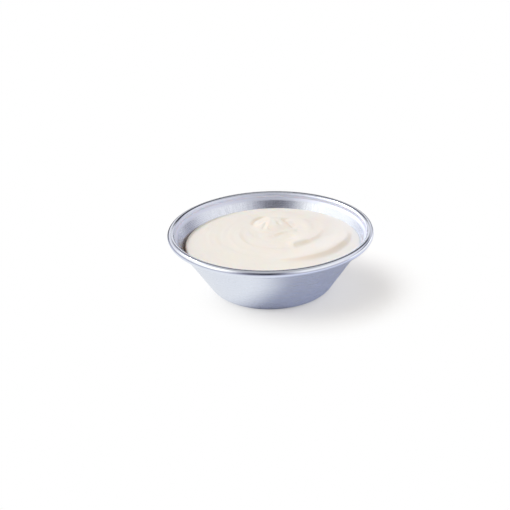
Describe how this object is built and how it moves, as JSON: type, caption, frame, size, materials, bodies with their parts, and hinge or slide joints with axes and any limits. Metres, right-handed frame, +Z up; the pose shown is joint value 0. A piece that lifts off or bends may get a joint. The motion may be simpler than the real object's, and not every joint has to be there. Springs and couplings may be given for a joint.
{
  "type": "filled sauce cup",
  "caption": "Small flared steel sauce cup with a rolled bead rim, filled with a pale cream sauce whose top is swirled into arcs and a low folded peak.",
  "frame": {"origin": "centre of the foot, on the surface that the cup stands on", "axes": "+Z up through the middle of the cup; -Y towards the near side, from which the swirl's tongue is seen; +X to the right of that view"},
  "size_m": [0.076, 0.076, 0.0234],
  "materials": {
    "steel": "satin stainless steel with a fine spun grain",
    "sauce": null
  },
  "bodies": {
    "root": {"cup": "steel", "sauce": "sauce"}
  },
  "joints": []
}
